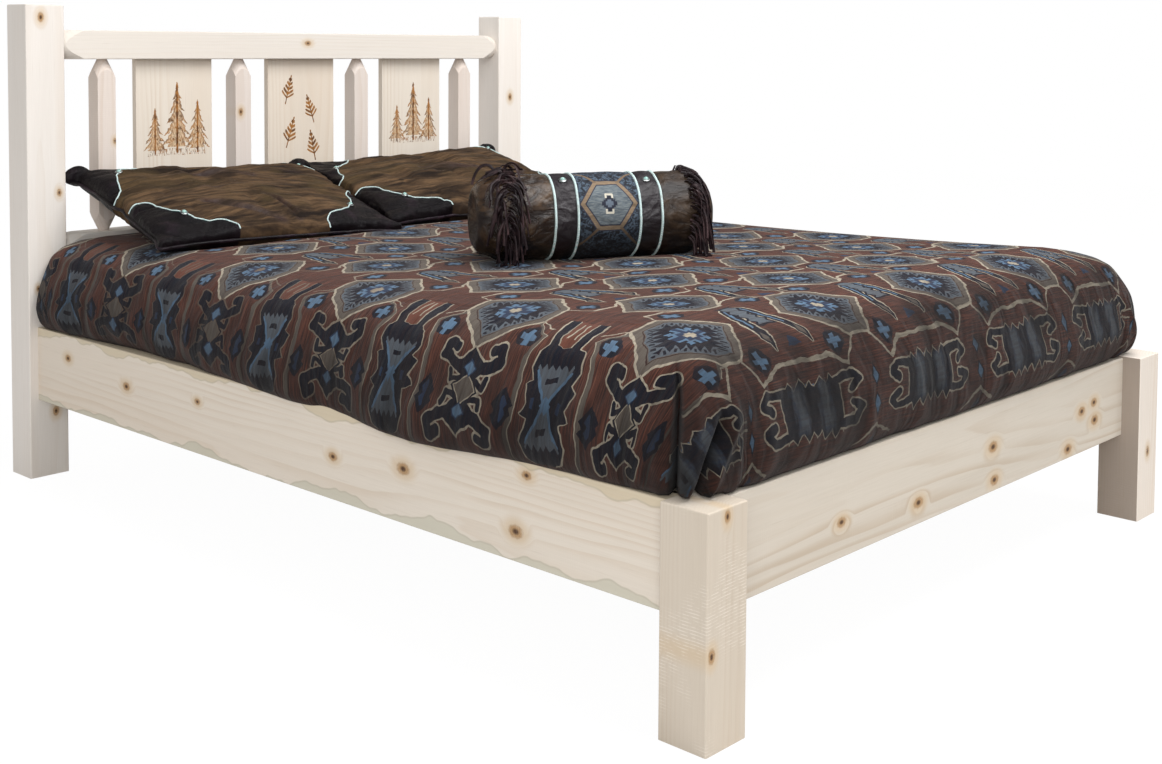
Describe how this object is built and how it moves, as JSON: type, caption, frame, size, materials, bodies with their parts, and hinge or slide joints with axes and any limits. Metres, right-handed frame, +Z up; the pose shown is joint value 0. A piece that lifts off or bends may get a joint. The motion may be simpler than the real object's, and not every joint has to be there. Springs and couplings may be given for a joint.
{
  "type": "platform bed",
  "caption": "Rustic solid pine platform bed with square posts, pencil-ended headboard rails and spindles, three panels, slat deck, mattress, comforter, pillows and bolster.",
  "frame": {"origin": "on the floor under the middle of the bed", "axes": "+X across the bed towards its right side seen from the foot, +Y from the foot to the headboard, +Z up"},
  "size_m": [1.6814, 2.31, 1.194],
  "materials": {
    "pine": "unfinished, lightly sanded",
    "zinc_steel": "zinc plated",
    "ticking": "woven ticking",
    "woven_cover": "woven jacquard",
    "brown_suede": "brushed suede",
    "brown_leather": "soft satin"
  },
  "bodies": {
    "bed_frame": {"head_post_left": "pine", "head_post_right": "pine", "foot_post_left": "pine", "foot_post_right": "pine", "headboard_top_rail": "pine", "headboard_lower_rail": "pine", "spindle_1": "pine", "spindle_2": "pine", "spindle_3": "pine", "spindle_4": "pine", "panel_left": "pine", "panel_center": "pine", "panel_right": "pine", "side_rail_left": "pine", "side_rail_right": "pine", "foot_rail": "pine", "head_rail": "pine", "side_cleat_left": "pine", "side_cleat_right": "pine", "foot_cleat": "pine", "head_cleat": "pine", "slat_01": "pine", "slat_02": "pine", "slat_03": "pine", "slat_04": "pine", "slat_05": "pine", "slat_06": "pine", "slat_07": "pine", "slat_08": "pine", "slat_09": "pine", "slat_10": "pine", "slat_11": "pine", "slat_12": "pine", "slat_13": "pine", "slat_14": "pine", "center_beam": "pine", "center_leg_foot": "pine", "center_leg_head": "pine", "corner_bracket_head_left": "zinc_steel", "corner_bracket_head_right": "zinc_steel", "corner_bracket_foot_left": "zinc_steel", "corner_bracket_foot_right": "zinc_steel", "slat_screws": "zinc_steel", "cleat_screws": "zinc_steel", "bracket_screws": "zinc_steel", "leg_bolts": "zinc_steel", "leg_nuts": "zinc_steel"},
    "bedding": {"mattress": "ticking", "comforter": "woven_cover"},
    "pillow_left_body": {"pillow_left": "brown_suede"},
    "pillow_right_body": {"pillow_right": "brown_suede"},
    "bolster_body": {"bolster": "brown_leather"}
  },
  "joints": [
    {"name": "mattress_lift", "type": "slide", "parent": "bed_frame", "child": "bedding", "axis": [0, 0, 1], "range_m": [0, 0.85]},
    {"name": "pillow_left_lift", "type": "slide", "parent": "bedding", "child": "pillow_left_body", "axis": [0, 0, 1], "range_m": [0, 0.6]},
    {"name": "pillow_right_lift", "type": "slide", "parent": "bedding", "child": "pillow_right_body", "axis": [0, 0, 1], "range_m": [0, 0.6]},
    {"name": "bolster_lift", "type": "slide", "parent": "bedding", "child": "bolster_body", "axis": [0, 0, 1], "range_m": [0, 0.6]}
  ]
}
